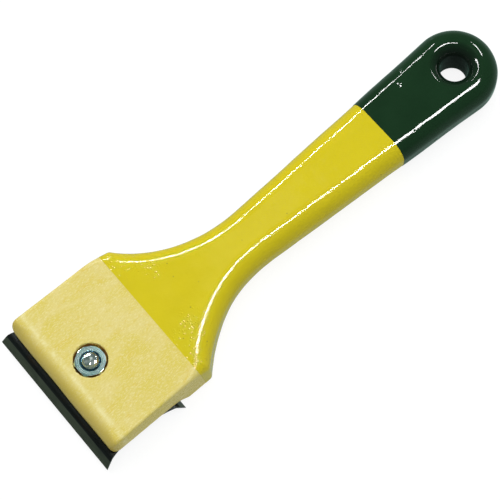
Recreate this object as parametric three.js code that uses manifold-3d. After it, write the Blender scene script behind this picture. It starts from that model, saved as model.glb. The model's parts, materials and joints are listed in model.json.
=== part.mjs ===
// Two-edge pull scraper: a one-piece wooden handle with a wide head, a hooked
// steel blade clamped to a sloping seat under the head, and a slotted screw
// from below that runs up into a hex nut sunk in the top of the head.
//
// Millimetres. +Z is up, the tool lies on its back edge and the end of its
// handle, with the blade towards -X, the handle towards +X and its plane of
// symmetry at Y = 0. The origin is at the bottom centre of its box.

import * as THREE from 'three';
import { ParametricGeometry } from 'three/addons/geometries/ParametricGeometry.js';
import { mergeVertices } from 'three/addons/utils/BufferGeometryUtils.js';
import Module from 'manifold-3d';

const wasm = await Module();
wasm.setup();

// ---------------------------------------------------------------- dimensions

// Wooden handle, measured in its own frame: x = 0 at the front of the head,
// z = 0 on its flat top.
const HANDLE_LENGTH = 208.4;
const BOARD_THICKNESS = 19.05;          // a 3/4 in board
const HEAD_FRONT_WIDTH = 60.4;
const HEAD_REAR_WIDTH = 58.8;
const HEAD_LENGTH = 45.7;
const WAIST_WIDTH = 22.3;               // the narrowest part of the neck
const WAIST_X = 92.7;
const END_RADIUS = 16.7;                // round end of the handle
const NECK_CORNER_ANGLE = 44.5;         // degrees off the head's side
const NECK_CORNER_CUT = 2.2;            // the corner is softened this far back
const NECK_CURVE_FROM_HEAD = 16.2;      // how long the neck curve keeps its
const NECK_CURVE_INTO_WAIST = 21;       // direction at either end
const HEAD_EDGE_RADIUS = 0.9;
const FRONT_EDGE_RADIUS = 5.2;
const FRONT_EDGE_BLEND = 7;             // the front radius fades over this length
// The long edges are rounded more and more as the head runs into the grip.
const TOP_EDGE = { radius: 7.4, starts: 36, full: 52 };
const BOTTOM_EDGE = { radius: 8.6, starts: 44.5, full: 70 };

// Hanging hole, on the centre of the round end.
const HOLE_RADIUS = 5.6;
const HOLE_LIP_WIDTH = 3.8;
const HOLE_LIP_DEPTH = 4.2;

// Blade and its seat.
const SEAT_SLOPE = 5;                   // degrees, the head thickens rearwards
const HEAD_FRONT_THICKNESS = 10.9;
const SHOULDER_AHEAD_OF_EDGE = 3.6;     // the seat ends this far before the blade
const SHOULDER_LENGTH = 7.5;
const BLADE_WIDTH = 63.5;               // 2-1/2 in along each cutting edge
const BLADE_LENGTH = 36.8;              // from cutting edge to cutting edge
const BLADE_THICKNESS = 1.1;
const BLADE_OVERHANG = 4.8;             // front cutting edge ahead of the wood
const BLADE_WAIST = 57.0;               // its ends are hollowed to this width
const HOOK_DEPTH = 5.3;
const HOOK_REACH = 4.4;
const HOOK_BEND_RADIUS = 2.6;           // outside of the bend
const HOOK_OUTER_ANGLE = 60;            // degrees turned before the ground face
const HOOK_INNER_ANGLE = 72;
const EDGE_LAND = 0.12;
const BLADE_HOLE_RADIUS = 3.6;

// Fastener: 1/4-20 screw, nut and washer.
const SHANK_RADIUS = 3.1;
const SCREW_LENGTH = 15.875;            // 5/8 in under the head
const SCREW_HEAD_RADIUS = 7.2;
const SCREW_HEAD_HEIGHT = 2.4;
const SCREW_HEAD_RIM = 0.5;             // straight band round the head
const SLOT_WIDTH = 1.7;
const SLOT_DEPTH = 1.2;
const SLOT_TURN = 35;                   // degrees, how the screw happens to stop
const WASHER_RADIUS = 9.0;
const WASHER_BORE_RADIUS = 3.45;
const WASHER_THICKNESS = 1.0;
const NUT_ACROSS_FLATS = 11.1;
const NUT_HEIGHT = 5.56;
const NUT_BORE_RADIUS = 3.4;
const NUT_CHAMFER_HEIGHT = 0.75;
const NUT_COUNTERSINK = 0.7;
const NUT_TURN = 2;                     // degrees, how the nut happens to sit
const COUNTERBORE_RADIUS = 6.65;
const COUNTERBORE_DEPTH = 6.5;
const WOOD_BORE_RADIUS = 3.45;
const GAP = 0.2;                        // between pieces that are clamped

// ------------------------------------------------------------------- helpers

const rad = THREE.MathUtils.degToRad;

// A closed three.js geometry as a solid that can be joined and cut.
function solid(geometry) {
  const bare = geometry.clone();
  bare.deleteAttribute('normal');
  bare.deleteAttribute('uv');
  const merged = mergeVertices(bare, 1e-4);
  const triangles = [];
  for (let i = 0; i < merged.index.count; i += 3) {
    const corners = [0, 1, 2].map((k) => merged.index.getX(i + k));
    if (new Set(corners).size === 3) triangles.push(...corners);
  }
  return new wasm.Manifold(new wasm.Mesh({
    numProp: 3,
    vertProperties: new Float32Array(merged.attributes.position.array),
    triVerts: new Uint32Array(triangles),
  }));
}

// A solid as a three.js geometry.
function geometryOf(manifold) {
  const mesh = manifold.getMesh();
  const geometry = new THREE.BufferGeometry();
  geometry.setAttribute('position', new THREE.BufferAttribute(mesh.vertProperties, 3));
  geometry.setIndex(new THREE.BufferAttribute(mesh.triVerts, 1));
  geometry.computeVertexNormals();
  return geometry;
}

function piece(name, geometry, color, roughness, metalness) {
  const material = new THREE.MeshStandardMaterial({ color, roughness, metalness });
  const mesh = new THREE.Mesh(geometry, material);
  mesh.name = name;
  return mesh;
}

// An x-z outline as a slab of the given width, centred on y = 0.
function slabAcross(shape, width, curveSegments) {
  const slab = new THREE.ExtrudeGeometry(shape, {
    depth: width,
    bevelEnabled: false,
    curveSegments,
  });
  slab.rotateX(Math.PI / 2);
  slab.translate(0, width / 2, 0);
  return slab;
}

// An upright cylinder between two heights.
function pin(radius, bottom, top, segments) {
  const cylinder = new THREE.CylinderGeometry(radius, radius, top - bottom, segments);
  cylinder.rotateX(Math.PI / 2);
  cylinder.translate(0, 0, (top + bottom) / 2);
  return cylinder;
}

// A turned solid from [radius, height] pairs that start and end on the axis.
function turned(profile, segments) {
  const points = profile.map(([radius, height]) => new THREE.Vector2(radius, height));
  const lathe = new THREE.LatheGeometry(points, segments);
  lathe.rotateX(Math.PI / 2);
  return lathe;
}

// ----------------------------------------------------------------- seat frame

// The blade, washer, screw and nut share one frame: its origin is where the
// screw's axis meets the seat, its x runs rearwards along the seat and its z
// runs up the screw.
const slope = rad(SEAT_SLOPE);
const axisAlongSeat = BLADE_LENGTH / 2 - BLADE_OVERHANG;
const seatX = axisAlongSeat * Math.cos(slope);
const seatZ = -HEAD_FRONT_THICKNESS - axisAlongSeat * Math.sin(slope);
const seatHeight = (x) => -HEAD_FRONT_THICKNESS - x * Math.tan(slope);
const woodOverSeat = -seatZ / Math.cos(slope);

const seatFrame = new THREE.Group();
seatFrame.position.set(seatX, 0, seatZ);
seatFrame.rotation.y = slope;
seatFrame.updateMatrix();

// --------------------------------------------------------------------- handle

// Half of the plan outline, from the front corner of the head to the very end.
function halfOutline() {
  const front = HEAD_FRONT_WIDTH / 2;
  const rear = HEAD_REAR_WIDTH / 2;
  const onSide = (x) => front + (rear - front) * (x / HEAD_LENGTH);
  const corner = rad(NECK_CORNER_ANGLE);
  const endCentre = HANDLE_LENGTH - END_RADIUS;
  const waist = WAIST_WIDTH / 2;
  const flare = Math.asin((END_RADIUS - waist) / (endCentre - WAIST_X));

  const path = new THREE.Path();
  path.moveTo(0, front);
  const cornerStart = HEAD_LENGTH - NECK_CORNER_CUT;
  for (const x of [FRONT_EDGE_BLEND, HEAD_LENGTH / 2, TOP_EDGE.starts, cornerStart]) {
    path.lineTo(x, onSide(x));
  }
  const afterCornerX = HEAD_LENGTH + NECK_CORNER_CUT * Math.cos(corner);
  const afterCornerY = rear - NECK_CORNER_CUT * Math.sin(corner);
  path.quadraticCurveTo(HEAD_LENGTH, rear, afterCornerX, afterCornerY);
  path.bezierCurveTo(
    afterCornerX + NECK_CURVE_FROM_HEAD * Math.cos(corner),
    afterCornerY - NECK_CURVE_FROM_HEAD * Math.sin(corner),
    WAIST_X - NECK_CURVE_INTO_WAIST * Math.cos(flare),
    waist - NECK_CURVE_INTO_WAIST * Math.sin(flare),
    WAIST_X,
    waist,
  );
  path.lineTo((WAIST_X + endCentre) / 2, (waist + END_RADIUS) / 2);
  path.absarc(endCentre, 0, END_RADIUS, Math.PI / 2 + flare, 0, true);
  return path.getPoints(12);
}

// Radius of a rounded long edge: small on the head, full on the grip.
function edgeRadius(x, edge) {
  const fromFront = Math.min(x / FRONT_EDGE_BLEND, 1);
  const front = THREE.MathUtils.lerp(FRONT_EDGE_RADIUS, HEAD_EDGE_RADIUS, fromFront);
  const grown = THREE.MathUtils.smoothstep(x, edge.starts, edge.full);
  return THREE.MathUtils.lerp(front, edge.radius, grown);
}

// A board with the given closed outline whose edges are rounded, top and
// bottom, by a radius that changes along it. The flats close on a straight
// spine down the middle.
function roundedBoard() {
  const spineStart = HEAD_FRONT_WIDTH / 2;
  const half = halfOutline();
  const mirrored = half.slice(0, -1).reverse().map((p) => new THREE.Vector2(p.x, -p.y));
  const outline = [new THREE.Vector2(0, 0), ...half, ...mirrored];
  const count = outline.length;
  const edgeNormal = (from, to) => {
    const along = to.clone().sub(from).normalize();
    return new THREE.Vector2(-along.y, along.x);
  };
  const ring = outline.map((point, i) => {
    const before = edgeNormal(outline[(i + count - 1) % count], point);
    const after = edgeNormal(point, outline[(i + 1) % count]);
    const outward = before.clone().add(after).divideScalar(1 + before.dot(after));
    const spineX = THREE.MathUtils.clamp(point.x, spineStart, HANDLE_LENGTH - END_RADIUS);
    const topRadius = edgeRadius(point.x, TOP_EDGE);
    const bottomRadius = edgeRadius(point.x, BOTTOM_EDGE);
    return { point, outward, topRadius, bottomRadius, spineX };
  });

  const arcSteps = 6;
  const rows = 2 * (arcSteps + 1) + 2;
  const place = (u, v, target) => {
    const { point, outward, topRadius, bottomRadius, spineX } = ring[Math.round(v * count) % count];
    const row = Math.round(u * (rows - 1));
    if (row === 0 || row === rows - 1) {
      target.set(spineX, 0, row === 0 ? -BOARD_THICKNESS : 0);
      return;
    }
    const upper = row > arcSteps + 1;
    const radius = upper ? topRadius : bottomRadius;
    const step = upper ? rows - 2 - row : row - 1;
    const turn = (step / arcSteps) * (Math.PI / 2);
    const inset = radius * (1 - Math.sin(turn));
    const rise = radius * (1 - Math.cos(turn));
    target.set(
      point.x - outward.x * inset,
      point.y - outward.y * inset,
      upper ? -rise : rise - BOARD_THICKNESS,
    );
  };
  return new ParametricGeometry(place, rows - 1, count);
}

// What is cut away below the head: a flat seat that ends in a curved shoulder,
// which leaves room for the blade's rear hook.
function seatCutter() {
  const shoulderStart = axisAlongSeat + BLADE_LENGTH / 2 - SHOULDER_AHEAD_OF_EDGE;
  const shoulderEnd = shoulderStart + SHOULDER_LENGTH;
  const middle = (shoulderStart + shoulderEnd) / 2;
  const heelSoftening = 0.9;
  const clear = 10;
  const below = -BOARD_THICKNESS - clear;
  const shape = new THREE.Shape();
  shape.moveTo(-clear, below);
  shape.lineTo(shoulderEnd, below);
  shape.lineTo(shoulderEnd, -BOARD_THICKNESS);
  shape.bezierCurveTo(
    middle + heelSoftening,
    -BOARD_THICKNESS + heelSoftening,
    middle,
    seatHeight(middle),
    shoulderStart,
    seatHeight(shoulderStart),
  );
  shape.lineTo(-clear, seatHeight(-clear));
  return slabAcross(shape, HEAD_FRONT_WIDTH + clear, 8);
}

// The hanging hole: a straight throat that opens in a parabola at each face.
function hangingHoleCutter() {
  const lip = (face, side) => [0, 1, 2, 3, 4, 5].map((step) => {
    const opened = step / 5;
    const radius = HOLE_RADIUS + HOLE_LIP_WIDTH * opened * opened;
    const depth = HOLE_LIP_DEPTH * (1 - opened);
    return [radius, face - side * depth];
  });
  const top = lip(0, 1);
  const bottom = lip(-BOARD_THICKNESS, -1).reverse();
  const clear = 2;
  const cutter = turned([
    [0, -BOARD_THICKNESS - clear],
    [bottom[0][0], -BOARD_THICKNESS - clear],
    ...bottom,
    ...top,
    [top[5][0], clear],
    [0, clear],
  ], 40);
  cutter.translate(HANDLE_LENGTH - END_RADIUS, 0, 0);
  return cutter;
}

function handleGeometry() {
  const floor = woodOverSeat - COUNTERBORE_DEPTH;
  const clear = 5;
  const counterbore = pin(COUNTERBORE_RADIUS, floor, woodOverSeat + clear, 36);
  const bore = pin(WOOD_BORE_RADIUS, -clear, woodOverSeat + clear, 24);
  counterbore.applyMatrix4(seatFrame.matrix);
  bore.applyMatrix4(seatFrame.matrix);
  return geometryOf(
    solid(roundedBoard())
      .subtract(solid(seatCutter()))
      .subtract(solid(counterbore))
      .subtract(solid(bore))
      .subtract(solid(hangingHoleCutter())),
  );
}

// ---------------------------------------------------------------------- blade

// Half of the blade's section: flat over the middle, bent down at the edge and
// ground to a sharp edge on the outside of the hook.
function bladeSection() {
  const top = -GAP;
  const bendX = BLADE_LENGTH / 2 - HOOK_REACH;
  const bendZ = top - HOOK_BEND_RADIUS;
  const inner = HOOK_BEND_RADIUS - BLADE_THICKNESS;
  const onBend = (radius, degrees) => [
    bendX + radius * Math.sin(rad(degrees)),
    bendZ + radius * Math.cos(rad(degrees)),
  ];
  const edge = [BLADE_LENGTH / 2, top - HOOK_DEPTH];
  const steps = [0, 0.2, 0.4, 0.6, 0.8, 1];
  const right = [
    ...steps.map((t) => onBend(HOOK_BEND_RADIUS, t * HOOK_OUTER_ANGLE)),
    edge,
    [edge[0] - EDGE_LAND, edge[1]],
    ...steps.map((t) => onBend(inner, (1 - t) * HOOK_INNER_ANGLE)),
  ];
  const left = right.map(([x, z]) => [-x, z]).reverse();
  return new THREE.Shape([...right, ...left].map(([x, z]) => new THREE.Vector2(x, z)));
}

// The hollow end of the blade, as the scrap beyond it: a circular arc that
// meets both corners of the full width.
function bladeEndScrap(side) {
  const chord = BLADE_LENGTH;
  const hollow = (BLADE_WIDTH - BLADE_WAIST) / 2;
  const radius = (chord * chord / 4 + hollow * hollow) / (2 * hollow);
  const centre = BLADE_WAIST / 2 + radius;
  const scrap = pin(radius, -HOOK_DEPTH - 5, 5, 192);
  scrap.translate(0, side * centre, 0);
  return scrap;
}

function bladeGeometry() {
  return geometryOf(
    solid(slabAcross(bladeSection(), BLADE_WIDTH, 1))
      .subtract(solid(bladeEndScrap(1)))
      .subtract(solid(bladeEndScrap(-1)))
      .subtract(solid(pin(BLADE_HOLE_RADIUS, -5, 5, 24))),
  );
}

// ------------------------------------------------------------------- fastener

function washerGeometry() {
  const half = WASHER_THICKNESS / 2;
  return geometryOf(
    solid(pin(WASHER_RADIUS, -half, half, 48))
      .subtract(solid(pin(WASHER_BORE_RADIUS, -5, 5, 24))),
  );
}

// A slotted truss-head screw standing on its head: the bearing face is z = 0.
function screwGeometry() {
  const dome = [];
  for (let step = 0; step <= 6; step += 1) {
    const turn = (step / 6) * (Math.PI / 2);
    dome.push([
      SCREW_HEAD_RADIUS * Math.sin(turn),
      -SCREW_HEAD_RIM - (SCREW_HEAD_HEIGHT - SCREW_HEAD_RIM) * Math.cos(turn),
    ]);
  }
  const point = [[1, 1.1], [0.82, 0.4], [0.45, 0.06]].map(
    ([ofRadius, fromEnd]) => [SHANK_RADIUS * ofRadius, SCREW_LENGTH - fromEnd],
  );
  const body = turned([
    ...dome,
    [SCREW_HEAD_RADIUS, 0],
    [SHANK_RADIUS, 0],
    ...point,
    [0, SCREW_LENGTH],
  ], 40);
  const slot = new THREE.BoxGeometry(4 * SCREW_HEAD_RADIUS, SLOT_WIDTH, 2 * SLOT_DEPTH);
  slot.translate(0, 0, -SCREW_HEAD_HEIGHT);
  slot.rotateZ(rad(SLOT_TURN));
  return geometryOf(solid(body).subtract(solid(slot)));
}

// A hex nut whose corners are turned off, top and bottom, by a shallow cone.
function nutGeometry() {
  const corner = NUT_ACROSS_FLATS / Math.sqrt(3);
  const half = NUT_HEIGHT / 2;
  const flatFace = NUT_ACROSS_FLATS / 2 - 0.15;
  const barrelRadius = corner - 0.1;
  const bandTop = half - NUT_CHAMFER_HEIGHT;
  const hex = new THREE.CylinderGeometry(corner, corner, NUT_HEIGHT, 6);
  hex.rotateX(Math.PI / 2);
  const barrel = turned([
    [0, -half],
    [flatFace, -half],
    [barrelRadius, -bandTop],
    [barrelRadius, bandTop],
    [flatFace, half],
    [0, half],
  ], 48);
  const clear = 1;
  const mouthRadius = NUT_BORE_RADIUS + NUT_COUNTERSINK + clear;
  const bore = turned([
    [0, -half - clear],
    [mouthRadius, -half - clear],
    [NUT_BORE_RADIUS, NUT_COUNTERSINK - half],
    [NUT_BORE_RADIUS, half - NUT_COUNTERSINK],
    [mouthRadius, half + clear],
    [0, half + clear],
  ], 32);
  const nut = geometryOf(solid(hex).intersect(solid(barrel)).subtract(solid(bore)));
  nut.rotateZ(rad(NUT_TURN));
  return nut;
}

// ------------------------------------------------------------------- assembly

const washerTop = -GAP - BLADE_THICKNESS - GAP;
const screwSeat = washerTop - WASHER_THICKNESS - GAP;
const nutMiddle = woodOverSeat - COUNTERBORE_DEPTH + GAP + NUT_HEIGHT / 2;

const handle = piece('handle', handleGeometry(), 0xd6c826, 0.35, 0);
const blade = piece('scraper_blade', bladeGeometry(), 0x2b2f2c, 0.45, 0.9);
const washer = piece('flat_washer', washerGeometry(), 0x9fa6a6, 0.4, 1);
const screw = piece('clamp_screw', screwGeometry(), 0xa9b1b1, 0.35, 1);
const nut = piece('hex_nut', nutGeometry(), 0xa3b0b0, 0.4, 1);

washer.position.z = washerTop - WASHER_THICKNESS / 2;
screw.position.z = screwSeat;
nut.position.z = nutMiddle;
seatFrame.add(blade, washer, screw, nut);

const tool = new THREE.Group();
tool.add(handle, seatFrame);

// The tool leans so that it stands on its rear cutting edge and on the last
// of the flat under the handle's end.
const edgeAlong = axisAlongSeat + BLADE_LENGTH / 2;
const edgeDrop = GAP + HOOK_DEPTH;
const edgeX = edgeAlong * Math.cos(slope) - edgeDrop * Math.sin(slope);
const edgeZ = -HEAD_FRONT_THICKNESS - edgeAlong * Math.sin(slope) - edgeDrop * Math.cos(slope);
const restX = HANDLE_LENGTH - BOTTOM_EDGE.radius;
tool.rotation.y = Math.atan2(-BOARD_THICKNESS - edgeZ, restX - edgeX);

const group = new THREE.Group();
group.add(tool);
group.updateMatrixWorld(true);
const box = new THREE.Box3().setFromObject(group, true);
const centre = box.getCenter(new THREE.Vector3());
tool.position.set(-centre.x, 0, -box.min.z);

export default group;
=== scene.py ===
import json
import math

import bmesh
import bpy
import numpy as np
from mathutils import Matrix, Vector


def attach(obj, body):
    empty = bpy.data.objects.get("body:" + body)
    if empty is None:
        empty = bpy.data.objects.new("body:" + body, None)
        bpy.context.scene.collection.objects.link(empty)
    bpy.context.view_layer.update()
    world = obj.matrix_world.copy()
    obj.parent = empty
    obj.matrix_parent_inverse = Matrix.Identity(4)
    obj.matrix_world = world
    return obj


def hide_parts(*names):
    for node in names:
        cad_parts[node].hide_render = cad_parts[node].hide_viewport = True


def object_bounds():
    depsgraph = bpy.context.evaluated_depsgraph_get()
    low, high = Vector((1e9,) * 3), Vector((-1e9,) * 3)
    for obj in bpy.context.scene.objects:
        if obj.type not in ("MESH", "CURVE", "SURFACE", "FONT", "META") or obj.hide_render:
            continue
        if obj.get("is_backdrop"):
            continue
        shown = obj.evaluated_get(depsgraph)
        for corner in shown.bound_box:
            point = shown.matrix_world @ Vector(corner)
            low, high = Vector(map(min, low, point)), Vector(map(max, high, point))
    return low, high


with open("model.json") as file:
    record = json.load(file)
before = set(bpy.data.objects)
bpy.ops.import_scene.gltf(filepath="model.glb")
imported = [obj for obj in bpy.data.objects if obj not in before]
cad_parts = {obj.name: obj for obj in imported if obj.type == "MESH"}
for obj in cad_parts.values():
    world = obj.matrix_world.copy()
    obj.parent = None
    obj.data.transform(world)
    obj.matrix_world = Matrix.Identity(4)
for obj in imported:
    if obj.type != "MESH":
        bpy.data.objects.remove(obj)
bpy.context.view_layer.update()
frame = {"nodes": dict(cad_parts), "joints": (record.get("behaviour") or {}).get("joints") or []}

# A two-edge pull scraper: the bare, yellow and green stretches of its wooden
# handle, the hooked blade, and the washer, screw and nut that clamp it.
#
# Lengths are in millimetres inside this script and turn into metres where a
# mesh is made. Two local frames are used. The board frame has x = 0 at the
# front of the wood and z = 0 on its flat top. The seat frame has its origin
# where the screw's axis meets the blade's seat, with z up the screw.

MM = 0.001

# ---------------------------------------------------------------- dimensions

# Wooden handle.
HANDLE_LENGTH = 208.4
BOARD_THICKNESS = 19.05
HEAD_FRONT_WIDTH = 60.4
HEAD_REAR_WIDTH = 58.8
HEAD_LENGTH = 45.7
WAIST_WIDTH = 22.3
WAIST_X = 92.7
END_RADIUS = 16.7
NECK_CORNER_ANGLE = math.radians(44.5)
NECK_CORNER_CUT = 0.9
NECK_CURVE_FROM_HEAD = 16.2
NECK_CURVE_INTO_WAIST = 21.0
HEAD_EDGE_RADIUS = 0.9
FRONT_EDGE_RADIUS = 5.2
FRONT_EDGE_BLEND = 7.0
TOP_EDGE = {"radius": 7.4, "starts": 35.0, "full": 49.5}
BOTTOM_EDGE = {"radius": 8.6, "starts": 44.5, "full": 70.0}
FRONT_CORNER_SOFTNESS = 3.2
CUT_EDGE_SOFTNESS = 0.5
BORE_EDGE_SOFTNESS = 0.12
LIP_RIDGE_SOFTNESS = 0.4

# Hanging hole and the holes for the fastener.
HOLE_RADIUS = 5.6
HOLE_LIP_WIDTH = 3.8
HOLE_LIP_DEPTH = 4.2
COUNTERBORE_RADIUS = 6.45
COUNTERBORE_DEPTH = 6.5
WOOD_BORE_RADIUS = 3.45

# Seat, blade and the hook along each of its edges.
SEAT_SLOPE = math.radians(5.0)
HEAD_FRONT_THICKNESS = 10.9
SHOULDER_AHEAD_OF_EDGE = 3.6
SHOULDER_LENGTH = 7.5
BLADE_WIDTH = 63.5
BLADE_LENGTH = 36.8
BLADE_THICKNESS = 1.1
BLADE_OVERHANG = 4.8
BLADE_WAIST = 57.0
BLADE_HOLE_RADIUS = 3.6
HOOK_DEPTH = 5.3
HOOK_REACH = 4.4
HOOK_BEND_RADIUS = 2.6
HOOK_OUTER_ANGLE = math.radians(60.0)
HOOK_INNER_ANGLE = math.radians(72.0)
EDGE_LAND = 0.12
EDGE_WEAR = 0.035
GAP = 0.2

# Fastener: a 1/4-20 screw, its nut and washer.
THREAD_PITCH = 1.27
THREAD_CREST_RADIUS = 3.1
THREAD_ROOT_RADIUS = 2.45
THREAD_FLAT = 0.14
THREAD_STEPS = 18
SCREW_LENGTH = 15.875
SCREW_HEAD_RADIUS = 7.2
SCREW_HEAD_HEIGHT = 2.4
SCREW_HEAD_RIM = 0.5
SCREW_POINT_HEIGHT = 0.9
SCREW_POINT_SLOPE = 0.75
SCREW_CROWN_HEIGHT = 0.55
SCREW_END_DENTS = 0.11
SLOT_WIDTH = 1.7
SLOT_DEPTH = 1.2
SLOT_TURN = math.radians(35.0)
WASHER_RADIUS = 9.0
WASHER_BORE_RADIUS = 3.45
WASHER_THICKNESS = 1.0
WASHER_ROLL = 0.28
WASHER_BURR = 0.05
WASHER_WARP = 0.02
NUT_ACROSS_FLATS = 11.1
NUT_HEIGHT = 5.56
NUT_CHAMFER_HEIGHT = 0.4
NUT_COUNTERSINK = 0.8
NUT_COUNTERSINK_SLOPE = 1.1
NUT_THREAD_CLEARANCE = 0.15
NUT_TURN = math.radians(2.0)

# Paint: where each coat starts along the board's top, how far the dipping line
# leans over the thickness, and how thick the coat lies.
YELLOW_STARTS = 41.3
GREEN_STARTS = 153.2
YELLOW_LEAN = 0.085
GREEN_LEAN = 0.0
YELLOW_COAT = 0.07
GREEN_COAT = 0.16

# Unevenness left by sanding the wood, and by the brush under the paint.
SANDING_WAVES = {"height": 0.05, "length": 26.0}
BRUSHING_WAVES = {"height": 0.012, "length": 7.0}

# The grid that holds the handle's plan, and how far edge radii blend along it.
PLAN_STEP = 0.25
PLAN_MARGIN = 4.0
RADIUS_BLUR = 1.5

# The handle's mesh: spacing of its points, and rounds of evening them out.
HANDLE_VOXEL = 0.4
RELAX_ROUNDS = 3

# How strongly the lacquers mirror, where 0.5 is the shader's own default.
LACQUER_GLOSS = 0.25

# The studio's greenish walls, whose glow fades from below the tool to above it.
WALL_COLOR = (0.78, 1, 0.92, 1)
WALLS_ABOVE = 0.2
WALLS_BELOW = 0.4
WALLS_FADE = 0.2

# The floor: half its width in metres, its own glow and the tones of its grain.
FLOOR_REACH = 12.0
FLOOR_GLOW = 0.88
FLOOR_TONES = (0.14, 0.14, 0.14, 1), (0.16, 0.16, 0.16, 1)

# How bright a perfectly white surface shows under the set's lights.
PAPER_WHITE = 1.2

# Camera: turned from looking straight down on a point of the board's top.
CAMERA_TARGET_X = 100.0
CAMERA_TILT = math.radians(-15.316)
CAMERA_LEAN = math.radians(10.310)
CAMERA_ROLL = math.radians(41.877)
CAMERA_OFFSET = (-7.675, -13.392)
CAMERA_DISTANCE = 600.95
CAMERA_LENS = 117.07
SENSOR_WIDTH = 36.0


# -------------------------------------------------------------- local frames

def seat_in_board():
    """Where the seat frame lies in the board frame, in millimetres."""
    along = BLADE_LENGTH / 2 - BLADE_OVERHANG
    x = along * math.cos(SEAT_SLOPE)
    z = -HEAD_FRONT_THICKNESS - along * math.sin(SEAT_SLOPE)
    return Matrix.Translation((x, 0, z)) @ Matrix.Rotation(SEAT_SLOPE, 4, "Y")


def seat_in_world():
    """The seat frame in metres, read from the screw's joint."""
    joint = next(j for j in frame["joints"] if j["name"] == "screw_turn")
    up = -Vector(joint["axis"]).normalized()
    along = Vector((up.z, 0, -up.x))
    facing = Matrix((along, (0, 1, 0), up)).transposed().to_4x4()
    return Matrix.Translation(Vector(joint["pos_m"])) @ facing


def in_metres(matrix):
    """The same placement with its translation scaled to metres."""
    scaled = matrix.copy()
    scaled.translation = matrix.translation * MM
    return scaled


SEAT_IN_BOARD = seat_in_board()
SEAT = seat_in_world()
BOARD = SEAT @ in_metres(SEAT_IN_BOARD).inverted()
AXIS_ALONG_SEAT = BLADE_LENGTH / 2 - BLADE_OVERHANG
WOOD_OVER_SEAT = -SEAT_IN_BOARD.translation.z / math.cos(SEAT_SLOPE)
END_CENTRE_X = HANDLE_LENGTH - END_RADIUS
FLARE = math.asin((END_RADIUS - WAIST_WIDTH / 2) / (END_CENTRE_X - WAIST_X))


# ------------------------------------------------------------------- helpers

def smoothstep(value, low, high):
    share = np.clip((value - low) / (high - low), 0, 1)
    return share * share * (3 - 2 * share)


def soft_max(a, b, softness):
    """The larger of two fields, blended where they are nearly equal."""
    share = np.clip(0.5 + 0.5 * (a - b) / softness, 0, 1)
    return b + (a - b) * share + softness * share * (1 - share)


def bezier(points, steps):
    """A Bezier curve of any degree, sampled evenly in its parameter."""
    t = np.linspace(0, 1, steps)[:, None]
    rows = [np.array(p, float) * np.ones((steps, 1)) for p in points]
    while len(rows) > 1:
        rows = [a * (1 - t) + b * t for a, b in zip(rows, rows[1:])]
    return rows[0]


def ripples(seed, wavelength, count=28):
    """A gentle bumpy field of about unit height, as a function of position."""
    rng = np.random.default_rng(seed)
    directions = rng.normal(size=(count, 3))
    directions /= np.linalg.norm(directions, axis=1)[:, None]
    waves = directions * (2 * math.pi / wavelength) * rng.uniform(0.6, 1.5, count)[:, None]
    phases = rng.uniform(0, 2 * math.pi, count)
    return lambda points: np.sin(points @ waves.T + phases).sum(1) / math.sqrt(count / 2)


def mesh_object(name, points, faces, place, sharp_angle):
    """A mesh object from points in millimetres, smooth but for its sharp edges."""
    mesh = bpy.data.meshes.new(name)
    mesh.from_pydata((np.asarray(points, float) * MM).tolist(), [], faces)
    mesh.validate()
    return object_of(mesh, name, place, sharp_angle)


def object_of(mesh, name, place, sharp_angle):
    bm = bmesh.new()
    bm.from_mesh(mesh)
    bmesh.ops.recalc_face_normals(bm, faces=bm.faces)
    bm.to_mesh(mesh)
    bm.free()
    mesh.shade_smooth()
    mesh.set_sharp_from_angle(angle=sharp_angle)
    piece = bpy.data.objects.new(name, mesh)
    bpy.context.scene.collection.objects.link(piece)
    piece.matrix_world = place
    return piece


def applied(piece, sharp_angle):
    """The piece with its modifiers made part of its mesh."""
    graph = bpy.context.evaluated_depsgraph_get()
    mesh = bpy.data.meshes.new_from_object(piece.evaluated_get(graph))
    piece.modifiers.clear()
    piece.data = mesh
    mesh.shade_smooth()
    mesh.set_sharp_from_angle(angle=sharp_angle)
    return piece


def subtract(piece, cutter, sharp_angle):
    bpy.context.view_layer.update()
    cut = piece.modifiers.new("cut", "BOOLEAN")
    cut.operation = "DIFFERENCE"
    cut.solver = "EXACT"
    cut.object = cutter
    applied(piece, sharp_angle)
    bpy.data.objects.remove(cutter)
    return piece


def grid_faces(rows, columns, close_rows):
    """Quads of a grid whose columns wrap round, and whose rows may."""
    faces = []
    for row in range(rows if close_rows else rows - 1):
        after = (row + 1) % rows
        for column in range(columns):
            beside = (column + 1) % columns
            faces.append((row * columns + column, row * columns + beside,
                          after * columns + beside, after * columns + column))
    return faces


def turned(rows, segments, start=0.0):
    """Points of rows of (radius or radii, height) swept round the axis."""
    turns = start + np.arange(segments) * 2 * math.pi / segments
    return np.array([(r * math.cos(t), r * math.sin(t), z) for radii, z in rows
                     for r, t in zip(np.broadcast_to(radii, segments), turns)])


def capped(rows, segments, low, high):
    """Points and faces of a turned piece, closed to one point at each end."""
    points = np.concatenate([turned(rows, segments), [(0, 0, low), (0, 0, high)]])
    faces = grid_faces(len(rows), segments, False)
    first, last = len(points) - 2, len(points) - 1
    top = (len(rows) - 1) * segments
    for i in range(segments):
        j = (i + 1) % segments
        faces.append((first, j, i))
        faces.append((last, top + i, top + j))
    return points, faces


def rows_of(elements, attribute, width, kind=float):
    """An attribute of a mesh's vertices or edges, one row for each."""
    values = np.zeros(len(elements) * width, kind)
    elements.foreach_get(attribute, values)
    return values.reshape(-1, width)


# ------------------------------------------------------- shape of the handle

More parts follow.
